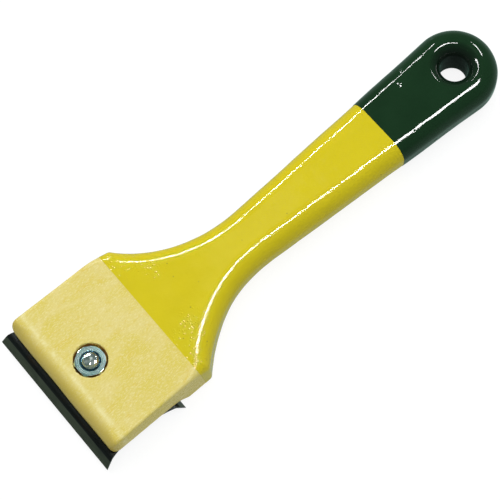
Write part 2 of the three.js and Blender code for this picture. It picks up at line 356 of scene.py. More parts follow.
def half_outline():
    """Points along half the plan outline, from ahead of the head to the very end."""
    front, rear = HEAD_FRONT_WIDTH / 2, HEAD_REAR_WIDTH / 2
    taper = (rear - front) / HEAD_LENGTH
    corner_x = HEAD_LENGTH - NECK_CORNER_CUT
    before_corner = (corner_x, front + corner_x * taper)
    lean = np.array([math.cos(NECK_CORNER_ANGLE), -math.sin(NECK_CORNER_ANGLE)])
    after_corner = np.array([HEAD_LENGTH, rear]) + NECK_CORNER_CUT * lean
    waist = np.array([WAIST_X, WAIST_WIDTH / 2])
    along_grip = np.array([math.cos(FLARE), math.sin(FLARE)])
    turn = np.linspace(math.pi / 2 + FLARE, 0, 120)
    end = np.stack([END_CENTRE_X + END_RADIUS * np.cos(turn), END_RADIUS * np.sin(turn)], 1)
    ahead = 20
    stretches = [
        bezier([(-ahead, front - ahead * taper), before_corner], 220),
        bezier([before_corner, (HEAD_LENGTH, rear), after_corner], 12),
        bezier([after_corner, after_corner + NECK_CURVE_FROM_HEAD * lean,
                waist - NECK_CURVE_INTO_WAIST * along_grip, waist], 220),
        bezier([waist, end[0]], 320),
        end,
    ]
    return np.concatenate([stretches[0]] + [s[1:] for s in stretches[1:]])


def grown_radius(x, edge):
    """Radius of a rounded long edge at this place along the outline."""
    grown = smoothstep(x, edge["starts"], edge["full"])
    return HEAD_EDGE_RADIUS + (edge["radius"] - HEAD_EDGE_RADIUS) * grown


def blurred(table, width):
    """The table smoothed by a bell curve of this width in millimetres."""
    reach = int(3 * width / PLAN_STEP)
    bell = np.exp(-0.5 * (np.arange(-reach, reach + 1) * PLAN_STEP / width) ** 2)
    bell /= bell.sum()
    for _ in range(2):
        padded = np.pad(table, ((reach, reach), (0, 0)), "symmetric")
        table = sum(w * padded[i:i + len(table)] for i, w in enumerate(bell)).T
    return table


def plan_tables():
    """Distance outside the outline, and the top and bottom edges' radii, over the plan."""
    outline = half_outline()
    along = np.gradient(outline, axis=0)
    along /= np.linalg.norm(along, axis=1)[:, None]
    outward = np.stack([-along[:, 1], along[:, 0]], 1)
    xs = np.arange(-PLAN_MARGIN, HANDLE_LENGTH + PLAN_MARGIN, PLAN_STEP)
    ys = np.arange(0, HEAD_FRONT_WIDTH / 2 + PLAN_MARGIN, PLAN_STEP)
    distance = np.zeros((len(xs), len(ys)))
    nearest_x = np.zeros_like(distance)
    for column, y in enumerate(ys):
        away = np.hypot(xs[:, None] - outline[:, 0], y - outline[:, 1])
        nearest = away.argmin(1)
        offset = np.stack([xs, np.full(len(xs), y)], 1) - outline[nearest]
        distance[:, column] = (offset * outward[nearest]).sum(1)
        nearest_x[:, column] = outline[nearest, 0]
    return (distance, blurred(grown_radius(nearest_x, TOP_EDGE), RADIUS_BLUR),
            blurred(grown_radius(nearest_x, BOTTOM_EDGE), RADIUS_BLUR))


def looked_up(table, x, y):
    """Values of a plan table between its grid points."""
    u = np.clip((x + PLAN_MARGIN) / PLAN_STEP, 0, table.shape[0] - 1.001)
    v = np.clip(np.abs(y) / PLAN_STEP, 0, table.shape[1] - 1.001)
    i, j = u.astype(int), v.astype(int)
    u, v = u - i, v - j
    near = table[i, j] * (1 - v) + table[i, j + 1] * v
    far = table[i + 1, j] * (1 - v) + table[i + 1, j + 1] * v
    return near * (1 - u) + far * u


def seat_table():
    """Height of the head's underside and its slope: seat, shoulder, heel."""
    def on_seat(x):
        return -HEAD_FRONT_THICKNESS - x * math.tan(SEAT_SLOPE)

    start = AXIS_ALONG_SEAT + BLADE_LENGTH / 2 - SHOULDER_AHEAD_OF_EDGE
    end = start + SHOULDER_LENGTH
    middle = (start + end) / 2
    softening = 0.9
    beyond = 30
    shoulder = bezier([(start, on_seat(start)), (middle, on_seat(middle)),
                       (middle + softening, softening - BOARD_THICKNESS),
                       (end, -BOARD_THICKNESS)], 160)
    below = bezier([(end, -BOARD_THICKNESS),
                    (end + 2 * beyond, -BOARD_THICKNESS - beyond)], 20)
    ahead = bezier([(-beyond, on_seat(-beyond)), (start, on_seat(start))], 20)
    line = np.concatenate([ahead, shoulder[1:], below[1:]])
    slope = np.gradient(line[:, 1], line[:, 0])
    return line[:, 0], line[:, 1], slope


OUTSIDE, TOP_RADIUS, BOTTOM_RADIUS = plan_tables()
SEAT_X, SEAT_Z, SEAT_RISE = seat_table()
hand_sanded = ripples(11, SANDING_WAVES["length"])
brushed_on = ripples(12, BRUSHING_WAVES["length"])


def rounded(a, b, radius):
    """Two half spaces that meet in a rounded edge of this radius."""
    a, b = a + radius, b + radius
    return np.hypot(np.maximum(a, 0), np.maximum(b, 0)) + np.minimum(np.maximum(a, b), 0) - radius


def handle_field(points):
    """Signed distance, roughly, from the wooden handle: negative inside."""
    x, y, z = points.T
    out_of_face = np.maximum(z, -BOARD_THICKNESS - z)
    side = looked_up(OUTSIDE, x, y)
    radius = np.where(z > -BOARD_THICKNESS / 2, looked_up(TOP_RADIUS, x, y),
                      looked_up(BOTTOM_RADIUS, x, y))
    at_front = smoothstep(-x - side, -FRONT_EDGE_BLEND / 2, FRONT_EDGE_BLEND / 2)
    radius = radius + (FRONT_EDGE_RADIUS - radius) * at_front
    board = rounded(soft_max(side, -x, FRONT_CORNER_SOFTNESS), out_of_face, radius)

    opened = np.clip(1 + out_of_face / HOLE_LIP_DEPTH, 0, 1.2)
    opening = HOLE_RADIUS + HOLE_LIP_WIDTH * opened * opened
    widening = 2 * HOLE_LIP_WIDTH * opened / HOLE_LIP_DEPTH
    hole = (opening - np.hypot(x - END_CENTRE_X, y)) / np.sqrt(1 + widening * widening)
    board = soft_max(board, hole, LIP_RIDGE_SOFTNESS)

    seat = np.interp(x, SEAT_X, SEAT_Z)
    rise = np.interp(x, SEAT_X, SEAT_RISE)
    wood = soft_max(board, (seat - z) / np.sqrt(1 + rise * rise), CUT_EDGE_SOFTNESS)

    to_seat = np.array(SEAT_IN_BOARD.inverted())
    u, v, w = (points @ to_seat[:3, :3].T + to_seat[:3, 3]).T
    off_axis = np.hypot(u, v)
    floor = WOOD_OVER_SEAT - COUNTERBORE_DEPTH
    counterbore = np.minimum(COUNTERBORE_RADIUS - off_axis, w - floor)
    wood = soft_max(wood, counterbore, BORE_EDGE_SOFTNESS)
    wood = soft_max(wood, WOOD_BORE_RADIUS - off_axis, BORE_EDGE_SOFTNESS)
    painted = smoothstep(x, YELLOW_STARTS - 4, YELLOW_STARTS + 8)
    return (wood - SANDING_WAVES["height"] * hand_sanded(points)
            - BRUSHING_WAVES["height"] * painted * brushed_on(points))


def gradient(points, field, step=0.02):
    """How steeply the field rises along each axis."""
    slopes = []
    for axis in range(3):
        shift = np.zeros(3)
        shift[axis] = step
        slopes.append((field(points + shift) - field(points - shift)) / (2 * step))
    return np.stack(slopes, 1)


def settled(points, field, rounds):
    """The points moved onto the surface where the field is zero."""
    least_steep = 0.05
    for _ in range(rounds):
        slope = gradient(points, field)
        steep = np.maximum((slope * slope).sum(1), least_steep)
        move = slope * (field(points) / steep)[:, None]
        length = np.linalg.norm(move, axis=1)[:, None]
        points = points - move * np.minimum(1, HANDLE_VOXEL / np.maximum(length, 1e-9))
    return points


def handle_mesh():
    """The whole handle as an even mesh whose points lie on the true surface."""
    block = frame["nodes"]["handle"].copy()
    block.data = block.data.copy()
    block.parent = None
    bpy.context.scene.collection.objects.link(block)
    remesh = block.modifiers.new("even", "REMESH")
    remesh.mode = "VOXEL"
    remesh.voxel_size = HANDLE_VOXEL * MM
    graph = bpy.context.evaluated_depsgraph_get()
    mesh = bpy.data.meshes.new_from_object(block.evaluated_get(graph))
    bpy.data.objects.remove(block)
    mesh.transform(BOARD.inverted())

    points = rows_of(mesh.vertices, "co", 3) / MM
    a, b = rows_of(mesh.edges, "vertices", 2, int).T
    count = np.bincount(np.concatenate([a, b]), minlength=len(points))[:, None]
    points = settled(points, handle_field, 3)
    for _ in range(RELAX_ROUNDS):
        total = np.stack([
            np.bincount(a, points[b, k], len(points)) + np.bincount(b, points[a, k], len(points))
            for k in range(3)], 1)
        points = 0.5 * points + 0.5 * total / count
        points = settled(points, handle_field, 1)
    points = settled(points, handle_field, 3)
    mesh.vertices.foreach_set("co", (points * MM).ravel())
    mesh.update()
    return mesh


def stretch_of_handle(whole, name, start, end, coat):
    """The part of the handle between two planes, raised by its coat.

    Each plane is the place where it meets the board's top and how far it leans.
    """
    planes = []
    for plane, keep in ((start, 1), (end, -1)):
        if plane:
            x, lean = plane
            inward = keep * np.array([1, 0, lean]) / math.hypot(1, lean)
            planes.append((np.array([x, 0, 0]), inward))
    bm = bmesh.new()
    bm.from_mesh(whole)
    for point, inward in planes:
        everything = bm.verts[:] + bm.edges[:] + bm.faces[:]
        bmesh.ops.bisect_plane(bm, geom=everything, dist=1e-7, plane_co=point * MM,
                               plane_no=-inward, clear_outer=True)
        rim = [edge for edge in bm.edges if edge.is_boundary]
        bmesh.ops.edgeloop_fill(bm, edges=rim)
    mesh = bpy.data.meshes.new(name)
    bm.to_mesh(mesh)
    bm.free()

    if coat:
        points = rows_of(mesh.vertices, "co", 3) / MM
        raised = settled(points, lambda p: handle_field(p) - coat, 2)
        for point, inward in planes:
            rim = np.abs((points - point) @ inward) < 1e-4
            off_plane = (raised[rim] - point) @ inward
            raised[rim] -= off_plane[:, None] * inward
        mesh.vertices.foreach_set("co", (raised * MM).ravel())
        mesh.update()
    return object_of(mesh, name, BOARD, math.radians(50))


# ------------------------------------------------------------------ fastener

def hooked_section(points_on_bend, points_on_face, points_on_flat):
    """Outer and inner lines of the blade's section, point for point."""
    top = -GAP
    bend_x = BLADE_LENGTH / 2 - HOOK_REACH
    bend_z = top - HOOK_BEND_RADIUS
    edge = np.array([BLADE_LENGTH / 2, top - HOOK_DEPTH])

    def side(radius, angle, tip):
        turn = np.linspace(0, angle, points_on_bend)
        bend = np.stack([bend_x + radius * np.sin(turn), bend_z + radius * np.cos(turn)], 1)
        face = np.linspace(bend[-1], tip, points_on_face + 1)[1:]
        half = np.concatenate([bend, face])
        flat = np.stack([np.linspace(-bend_x, bend_x, points_on_flat + 2)[1:-1],
                         np.full(points_on_flat, bend_z + radius)], 1)
        return np.concatenate([half[::-1] * (-1, 1), flat, half])

    outer = side(HOOK_BEND_RADIUS, HOOK_OUTER_ANGLE, edge)
    inner = side(HOOK_BEND_RADIUS - BLADE_THICKNESS, HOOK_INNER_ANGLE, edge - (EDGE_LAND, 0))
    return outer, inner


def blade_piece():
    """Sheet steel with both long edges hooked down and ground sharp."""
    outer, inner = hooked_section(12, 8, 30)
    loop = np.concatenate([outer, inner[::-1]])
    hollow = (BLADE_WIDTH - BLADE_WAIST) / 2
    radius = (BLADE_LENGTH ** 2 / 4 + hollow ** 2) / (2 * hollow)
    half = BLADE_WAIST / 2 + radius - np.sqrt(radius ** 2 - loop[:, 0] ** 2)
    stations = np.linspace(-1, 1, 161)
    wobble = ripples(21, 5.0)
    points = []
    for station in stations:
        row = np.stack([loop[:, 0], station * half, loop[:, 1]], 1)
        toward_edge = np.clip((-GAP - row[:, 2]) / HOOK_DEPTH, 0, 1) ** 3
        row[:, 2] += EDGE_WEAR * toward_edge * wobble(row)
        points.append(row)
    count = len(loop)
    faces = grid_faces(len(stations), count, False)
    for first in (0, (len(stations) - 1) * count):
        for i in range(len(outer) - 1):
            j = count - 1 - i
            faces.append((first + i, first + i + 1, first + j - 1, first + j))
    blade = mesh_object("hooked_blade", np.concatenate(points), faces, SEAT, math.radians(30))
    low, high = -8, 4
    drilled = capped([(BLADE_HOLE_RADIUS, low), (BLADE_HOLE_RADIUS, high)], 64, low, high)
    drill = mesh_object("drill", *drilled, SEAT, math.radians(30))
    return subtract(blade, drill, math.radians(30))


WASHER_TOP = -GAP - BLADE_THICKNESS - GAP
SCREW_SEAT = WASHER_TOP - WASHER_THICKNESS - GAP
NUT_BOTTOM = WOOD_OVER_SEAT - COUNTERBORE_DEPTH + GAP


def washer_piece():
    """A stamped washer: rolled over on one face, with a small burr on the other."""
    low, high = WASHER_TOP - WASHER_THICKNESS, WASHER_TOP
    soft, burr = WASHER_ROLL, WASHER_BURR
    corner = [(math.sin(t), math.cos(t)) for t in np.linspace(0, math.pi / 2, 7)]
    outer = [(WASHER_RADIUS - soft + soft * s, low + soft - soft * c) for s, c in corner]
    inner = [(WASHER_BORE_RADIUS + soft - soft * s, low + soft - soft * c) for s, c in corner]
    ring = (
        outer
        + [(WASHER_RADIUS, high - burr), (WASHER_RADIUS - burr, high)]
        + [(r, high) for r in np.linspace(WASHER_RADIUS - 0.8, WASHER_BORE_RADIUS + 0.5, 8)]
        + [(WASHER_BORE_RADIUS + burr, high), (WASHER_BORE_RADIUS, high - burr)]
        + inner[::-1]
        + [(r, low) for r in np.linspace(WASHER_BORE_RADIUS + 0.8, WASHER_RADIUS - 0.8, 8)]
    )
    segments = 128
    warped = ripples(22, 14.0)
    points = turned(ring, segments)
    points[:, 2] += WASHER_WARP * warped(points)
    return mesh_object("stamped_washer", points, grid_faces(len(ring), segments, True),
                       SEAT, math.radians(35))


def thread(turn, height, root, crest):
    """Radius of a right-hand V thread with flattened crests and roots."""
    phase = np.mod(height / THREAD_PITCH - turn / (2 * math.pi), 1)
    ridge = np.abs(2 * phase - 1)
    return root + (crest - root) * np.clip((ridge - THREAD_FLAT) / (1 - 2 * THREAD_FLAT), 0, 1)


def screw_rows(segments):
    """Radii and heights of the screw, from the middle of its head to its end."""
    turns = np.arange(segments) * 2 * math.pi / segments
    dome = [(SCREW_HEAD_RADIUS * math.sin(t),
             -SCREW_HEAD_RIM - (SCREW_HEAD_HEIGHT - SCREW_HEAD_RIM) * math.cos(t))
            for t in np.linspace(0.03, math.pi / 2, 26)]
    rim = [(SCREW_HEAD_RADIUS, -0.35), (SCREW_HEAD_RADIUS, -0.12),
           (SCREW_HEAD_RADIUS - 0.12, 0), (SCREW_HEAD_RADIUS - 1.2, 0),
           (THREAD_CREST_RADIUS + 0.35, 0), (THREAD_CREST_RADIUS, 0.3)]
    shank_top = SCREW_LENGTH - SCREW_CROWN_HEIGHT
    thread_starts = 0.8
    shank = []
    for z in np.arange(0.5, shank_top, THREAD_PITCH / THREAD_STEPS):
        cut = thread(turns, z, THREAD_ROOT_RADIUS, THREAD_CREST_RADIUS)
        depth = smoothstep(z, thread_starts, thread_starts + THREAD_PITCH)
        into_point = max(0, z - (shank_top - SCREW_POINT_HEIGHT))
        point = THREAD_CREST_RADIUS - into_point * SCREW_POINT_SLOPE
        radii = THREAD_CREST_RADIUS + (cut - THREAD_CREST_RADIUS) * depth
        shank.append((np.minimum(radii, point), z))
    end_radius = THREAD_CREST_RADIUS - SCREW_POINT_HEIGHT * SCREW_POINT_SLOPE
    crown = [(end_radius * math.cos(t), shank_top + SCREW_CROWN_HEIGHT * math.sin(t))
             for t in np.linspace(0, 1, 14)[1:-1] * math.pi / 2]
    return dome + rim + shank + crown


def screw_piece():
    """A slotted truss-head screw whose end is domed and scuffed."""
    segments = 96
    points, faces = capped(screw_rows(segments), segments, -SCREW_HEAD_HEIGHT, SCREW_LENGTH)
    shank_top = SCREW_LENGTH - SCREW_CROWN_HEIGHT
    peened = ripples(23, 4.2)
    at_end = smoothstep(points[:, 2], shank_top - 0.3, shank_top + 0.3)
    points[:, 2] += SCREW_END_DENTS * at_end * (peened(points) - 0.6)
    points[:, 2] += SCREW_SEAT
    screw = mesh_object("slotted_screw", points, faces, SEAT, math.radians(40))

    slot = bmesh.new()
    bmesh.ops.create_cube(slot, size=1)
    turn = Matrix.Rotation(SLOT_TURN, 4, "Z")
    size = Matrix.Diagonal((4 * SCREW_HEAD_RADIUS * MM, SLOT_WIDTH * MM, 2 * SLOT_DEPTH * MM, 1))
    middle = Matrix.Translation((0, 0, (SCREW_SEAT - SCREW_HEAD_HEIGHT) * MM))
    bmesh.ops.transform(slot, matrix=middle @ turn @ size, verts=slot.verts)
    mesh = bpy.data.meshes.new("slot")
    slot.to_mesh(mesh)
    slot.free()
    cutter = bpy.data.objects.new("slot", mesh)
    bpy.context.scene.collection.objects.link(cutter)
    cutter.matrix_world = SEAT
    return subtract(screw, cutter, math.radians(40))


def nut_piece():
    """A hex nut with turned-off corners, a countersink and a real thread."""
    segments = 192
    turns = np.arange(segments) * 2 * math.pi / segments
    sector = np.mod(turns + math.pi / 6, math.pi / 3) - math.pi / 6
    hexagon = NUT_ACROSS_FLATS / 2 / np.cos(sector)
    corner = NUT_ACROSS_FLATS / math.sqrt(3) - 0.1
    flat_face = NUT_ACROSS_FLATS / 2 + 0.1

    def outside(z):
        from_face = min(z, NUT_HEIGHT - z)
        cone = flat_face + (corner - flat_face) * min(1, from_face / NUT_CHAMFER_HEIGHT)
        return np.minimum(np.minimum(hexagon, corner), cone)

    chamfer = NUT_CHAMFER_HEIGHT * np.linspace(0, 1, 10)
    side = np.linspace(NUT_CHAMFER_HEIGHT, NUT_HEIGHT - NUT_CHAMFER_HEIGHT, 9)[1:-1]
    rows = [(outside(z), z) for z in (*chamfer, *side, *(NUT_HEIGHT - chamfer[::-1]))]
    minor = THREAD_ROOT_RADIUS + NUT_THREAD_CLEARANCE
    major = THREAD_CREST_RADIUS + NUT_THREAD_CLEARANCE
    mouth = major + NUT_COUNTERSINK
    rows += [(r, NUT_HEIGHT) for r in np.linspace(flat_face, mouth, 8)[1:]]
    up_from_screw = NUT_BOTTOM - SCREW_SEAT
    for z in np.arange(NUT_HEIGHT - 0.06, 0.05, -THREAD_PITCH / THREAD_STEPS):
        sink = mouth - NUT_COUNTERSINK_SLOPE * min(z, NUT_HEIGHT - z)
        cut = thread(turns + NUT_TURN, z + up_from_screw, minor, major)
        rows.append((np.maximum(cut, sink), z))
    rows += [(r, 0.0) for r in np.linspace(mouth, flat_face, 8)[:-1]]
    points = turned(rows, segments, NUT_TURN)
    points[:, 2] += NUT_BOTTOM
    return mesh_object("hexagon_nut", points, grid_faces(len(rows), segments, True),
                       SEAT, math.radians(32))


# ----------------------------------------------------------------- materials

def seen_as(red, green, blue):
    """The surface colour that shows as this screen colour, 0 to 255, in the set."""
    def linear(value):
        value /= 255
        return value / 12.92 if value <= 0.04045 else ((value + 0.055) / 1.055) ** 2.4

    return (*(linear(value) / PAPER_WHITE for value in (red, green, blue)), 1)


class Finish:
    """A material under construction. Patterns are in millimetres."""

    def __init__(self, name, **sockets):
        self.material = bpy.data.materials.new(name)
        self.material.use_nodes = True
        self.tree = self.material.node_tree
        self.shader = self.tree.nodes["Principled BSDF"]
        for socket, value in sockets.items():
            self.shader.inputs[socket.replace("_", " ")].default_value = value
        self.place = self.node("ShaderNodeTexCoord").outputs["Object"]

    def node(self, kind, settings=None, **sockets):
        made = self.tree.nodes.new(kind)
        for name, value in (settings or {}).items():
            setattr(made, name, value)
        for name, value in sockets.items():
            self.plug(value, made.inputs[name.replace("_", " ")])
        return made

    def plug(self, value, socket):
        if isinstance(value, bpy.types.NodeSocket):
            self.tree.links.new(value, socket)
        else:
            socket.default_value = value

    def stretched(self, sizes, turn=0.0, offset=0.0):
        """Position divided by a feature size in millimetres along each axis."""
        scale = [1 / (size * MM) for size in sizes]
        mapping = self.node("ShaderNodeMapping", Vector=self.place, Scale=scale,
                            Rotation=(0, 0, turn), Location=(offset, offset, offset))
        return mapping.outputs["Vector"]

    def noise(self, sizes, detail=2.0, roughness=0.5, distortion=0.0, turn=0.0, offset=0.0):
        made = self.node("ShaderNodeTexNoise", Vector=self.stretched(sizes, turn, offset),
                         Scale=1.0, Detail=detail, Roughness=roughness, Distortion=distortion)
        return made.outputs["Fac"]

    def specks(self, sizes, share, offset=0.0):
        """Small round dots, one in each cell of these sizes, with this share as radius."""
        place = self.stretched(sizes, 0.0, offset)
        made = self.node("ShaderNodeTexVoronoi", Vector=place, Scale=1.0, Randomness=1.0)
        return self.spread(made.outputs["Distance"], share, 0, 0, 1, "SMOOTHSTEP")

    def spread(self, value, low, high, out_low=0.0, out_high=1.0, ramp="LINEAR"):
        """The value mapped from low..high to out_low..out_high, and clamped."""
        settings = {"clamp": True, "interpolation_type": ramp}
        made = self.node("ShaderNodeMapRange", settings, Value=value)
        for socket, number in (("From Min", low), ("From Max", high),
                               ("To Min", out_low), ("To Max", out_high)):
            made.inputs[socket].default_value = number
        return made.outputs["Result"]

    def off_axis(self, x=0.0, y=0.0):
        """Distance from the upright axis through this point, in metres."""
        flat = self.node("ShaderNodeVectorMath", {"operation": "MULTIPLY"})
        self.plug(self.place, flat.inputs[0])
        flat.inputs[1].default_value = (1, 1, 0)
        away = self.node("ShaderNodeVectorMath", {"operation": "DISTANCE"})
        self.plug(flat.outputs[0], away.inputs[0])
        away.inputs[1].default_value = (x * MM, y * MM, 0)
        return away.outputs["Value"]

    def near(self, x, y, radius):
        """1 beside this upright axis, fading to 0 at this radius."""
        core = 0.3 * radius
        return self.spread(self.off_axis(x, y), core * MM, radius * MM, 1, 0)

    def math(self, operation, *values):
        made = self.node("ShaderNodeMath", {"operation": operation})
        for value, socket in zip(values, made.inputs):
            self.plug(value, socket)
        return made.outputs["Value"]

    def mix(self, share, a, b):
        """The colour a, turned into b by this share."""
        made = self.node("ShaderNodeMix", {"data_type": "RGBA"})
        factor, first, second = 0, 6, 7
        for value, socket in ((share, factor), (a, first), (b, second)):
            self.plug(value, made.inputs[socket])
        return made.outputs[2]

    def bump(self, height, depth_mm, normal=None):
        made = self.node("ShaderNodeBump", Height=height, Distance=depth_mm * MM, Strength=1.0)
        if normal is not None:
            self.plug(normal, made.inputs["Normal"])
        return made.outputs["Normal"]

    def finish(self, color=None, roughness=None, normal=None):
        for value, socket in ((color, "Base Color"), (roughness, "Roughness"), (normal, "Normal")):
            if value is not None:
                self.plug(value, self.shader.inputs[socket])
        return self.material


def bare_wood():
    """Pale close-grained hardwood with short fibres, warm patches and a clear coat.

    It has painted golden shade on the rounded front edge, a painted pale
    highlight just behind it, and painted dark brown shade on the counterbore's wall.
    """
    f = Finish("bare_wood", Specular_IOR_Level=0.06)
    patch = f.noise((19, 10, 10), 2, 0.5, 0.8, turn=0.5)
    warm = f.noise((9, 2.6, 2.6), 3, 0.6, 1.2, turn=0.35, offset=5.0)
    mottle = f.noise((3.6, 2.4, 2.4), 3, 0.6, 0.8, turn=0.3)
    fleck = f.noise((1.2, 0.42, 0.42), 3, 0.75, 0.5, turn=-0.35)
    dot = f.noise((0.8, 0.6, 0.6), 3, 0.75, offset=3.0)
    color = f.mix(f.spread(patch, 0.36, 0.64), seen_as(234, 215, 136), seen_as(227, 206, 100))
    color = f.mix(f.spread(warm, 0.56, 0.74, 0, 0.6), color, seen_as(229, 196, 76))
    color = f.mix(f.spread(mottle, 0.48, 0.72, 0, 0.5), color, seen_as(229, 207, 98))
    color = f.mix(f.spread(fleck, 0.5, 0.68, 0, 0.8), color, seen_as(243, 231, 174))
    color = f.mix(f.spread(dot, 0.52, 0.76, 0, 0.55), color, seen_as(208, 186, 100))

    parts = f.node("ShaderNodeSeparateXYZ", Vector=f.place)
    from_front, height = parts.outputs["X"], parts.outputs["Z"]
    # Painted shade: the colour turns darker and golden towards the rounded front edge.
    painted_front_shade = f.spread(from_front, 1.5 * MM, 5.5 * MM, 0.75, 0, "SMOOTHSTEP")
    color = f.mix(painted_front_shade, color, seen_as(205, 180, 86))

    # Painted shade: the counterbore's wall, below the top face, is coloured orange-brown.
    bore = SEAT_IN_BOARD @ Vector((0, 0, WOOD_OVER_SEAT))
    painted_bore_shade = f.spread(f.off_axis(bore.x, bore.y), 7.2 * MM, 7.6 * MM, 0.85, 0)
    painted_bore_shade = f.math("MULTIPLY", painted_bore_shade, f.spread(height, -0.2 * MM, -0.8 * MM))
    color = f.mix(painted_bore_shade, color, seen_as(226, 142, 50))

    # Painted highlight: a pale band across the head where the rounded front edge begins.
    rubs_and_painted_highlight = f.math("MULTIPLY", f.spread(from_front, 4.6 * MM, 5.6 * MM, 0, 0.5),
                    f.spread(from_front, 6.0 * MM, 7.6 * MM, 1, 0))
    color = f.mix(f.math("MULTIPLY", rubs_and_painted_highlight, f.spread(mottle, 0.35, 0.6)), color,
                  seen_as(247, 237, 186))

    rough = f.spread(dot, 0.3, 0.7, 0.24, 0.32)
    normal = f.bump(fleck, 0.02)
    normal = f.bump(dot, 0.012, normal)
    return f.finish(color, rough, normal)


def peel(f, size, depth):
    """The uneven skin of brushed lacquer, with the wood's grain showing through."""
    skin = f.noise((size * 1.6, size, size), 2, 0.55)
    grain = f.noise((6, 0.6, 0.6), 3, 0.6)
    fine = f.noise((1.1, 0.45, 0.45), 2, 0.6)
    normal = f.bump(skin, depth)
    normal = f.bump(grain, depth * 0.5, normal)
    return f.bump(fine, depth * 0.35, normal)


def yellow_lacquer():
    """Glossy yellow with specks of dust, pitted in patches beside the bare wood."""
    f = Finish("yellow_lacquer", Specular_IOR_Level=LACQUER_GLOSS)
    cloud = f.noise((18, 9, 9), 3, 0.55)
    dust = f.specks((5.0, 5.0, 5.0), 0.09)
    color = f.mix(f.spread(cloud, 0.35, 0.7), seen_as(220, 200, 32), seen_as(216, 196, 29))
    color = f.mix(f.math("MULTIPLY", dust, 0.8), color, seen_as(112, 104, 60))
    pits = f.specks((1.2, 1.0, 1.0), 0.38)
    sunk = f.math("ADD", f.near(53, 14, 8), f.near(52, -13, 7))
    sunk = f.math("ADD", sunk, f.near(46, -24, 16))
    sunk = f.math("ADD", sunk, f.near(46, 24, 12))
    normal = peel(f, 1.0, 0.042)
    normal = f.bump(f.math("MULTIPLY", sunk, pits), 0.15, normal)
    rough = f.spread(f.noise((6, 3, 3), 3, 0.6), 0.3, 0.7, 0.05, 0.1)
    return f.finish(color, rough, normal)


def green_dip(name, gloss, smooth, dull):
    """Thick dark green with painted shade inside the hole, and nibs of dust under its skin."""
    f = Finish(name, Specular_IOR_Level=gloss, Sheen_Weight=0.12, Sheen_Roughness=0.3,
               Sheen_Tint=(0.3, 0.9, 0.65, 1))
    cloud = f.noise((14, 10, 10), 2, 0.5)
    color = f.mix(f.spread(cloud, 0.3, 0.7), seen_as(20, 48, 26), seen_as(24, 53, 30))
    # Painted shade: the colour darkens towards the hanging hole's axis.
    color = f.mix(f.spread(f.off_axis(END_CENTRE_X), 6.5 * MM, 10 * MM, 0.85, 0), color,
                  seen_as(13, 22, 16))
    nibs = f.specks((9, 9, 9), 0.15, 2.0)
    normal = peel(f, 1.5, 0.028)
    normal = f.bump(nibs, 0.3, normal)
    rough = f.spread(f.noise((5, 4, 4), 3, 0.6), 0.3, 0.7, smooth, dull)
    return f.finish(color, rough, normal)


def dark_steel():
    """Blued sheet steel with rolling marks, handling rubs and brown patches."""
    f = Finish("blued_steel", Metallic=0.85, Specular_IOR_Level=0.5)
    rubs_and_painted_highlight = f.noise((5, 9, 5), 4, 0.65)
    rolled = f.noise((0.25, 16, 0.25), 3, 0.6)
    brown = f.noise((3, 12, 3), 3, 0.6, offset=7.0)
    color = f.mix(f.spread(rubs_and_painted_highlight, 0.35, 0.7), seen_as(46, 50, 50), seen_as(30, 32, 31))
    color = f.mix(f.spread(brown, 0.52, 0.72, 0, 0.7), color, seen_as(58, 46, 34))
    color = f.mix(f.spread(rolled, 0.58, 0.75, 0, 0.35), color, seen_as(92, 98, 98))
    rough = f.spread(rubs_and_painted_highlight, 0.3, 0.7, 0.28, 0.46)
    normal = f.bump(rolled, 0.006)
    return f.finish(color, rough, normal)


def ground_steel():
    """The ground face beside each cutting edge, marked along the edge."""
    f = Finish("ground_steel", Metallic=0.9)
    marks = f.noise((0.12, 7, 0.12), 3, 0.7)
    dull = f.noise((6, 10, 6), 3, 0.6)
    color = f.mix(f.spread(marks, 0.35, 0.7), seen_as(78, 82, 68), seen_as(102, 106, 88))
    color = f.mix(f.spread(dull, 0.5, 0.75, 0, 0.5), color, seen_as(50, 56, 49))
    rough = f.spread(dull, 0.3, 0.7, 0.3, 0.42)
    normal = f.bump(marks, 0.006)
    return f.finish(color, rough, normal)


def zinc_plate(name, dark, light, roughness, ring_depth, scuff, recess=0.0):
    """Bright zinc with a bluish tint, turning rings, scuffs and a bluer recess.

    The scuffs are given by their size and depth, and the recess by its radius.
    """
    f = Finish(name, Metallic=1.0)
    tint = f.noise((2.5, 2.5, 2.5), 3, 0.6)
    color = f.mix(f.spread(tint, 0.3, 0.7), seen_as(*dark), seen_as(*light))
    stain = f.noise((1.2, 1.2, 1.2), 4, 0.6, offset=4.0)
    color = f.mix(f.spread(stain, 0.56, 0.74, 0, 0.4), color, seen_as(150, 166, 150))
    radius = f.off_axis()
    if recess:
        inside = f.spread(radius, (recess - 0.1) * MM, (recess + 0.1) * MM, 0.85, 0)
        color = f.mix(inside, color, seen_as(76, 146, 178))
    rings = f.math("SINE", f.math("MULTIPLY", radius, 2 * math.pi / (0.55 * MM)))
    scuff_size, scuff_depth = scuff
    normal = f.bump(rings, ring_depth)
    normal = f.bump(f.noise((scuff_size,) * 3, 2, 0.5), scuff_depth, normal)
    rough = f.spread(stain, 0.3, 0.7, *roughness)
    return f.finish(color, rough, normal)


# ------------------------------------------------------------------- the set

def camera():
    turn = (Matrix.Rotation(CAMERA_ROLL, 3, "Z") @ Matrix.Rotation(CAMERA_TILT, 3, "X")
            @ Matrix.Rotation(CAMERA_LEAN, 3, "Y"))
    off = turn.transposed() @ Vector((*CAMERA_OFFSET, CAMERA_DISTANCE))
    place = turn.transposed().to_4x4()
    place.translation = (Vector((CAMERA_TARGET_X, 0, 0)) + off) * MM
    data = bpy.data.cameras.new("camera")
    data.lens = CAMERA_LENS
    data.sensor_width = SENSOR_WIDTH
    data.clip_start = 0.01
    data.clip_end = 40
    made = bpy.data.objects.new("camera", data)
    bpy.context.scene.collection.objects.link(made)
    made.matrix_world = BOARD @ place
    bpy.context.scene.camera = made


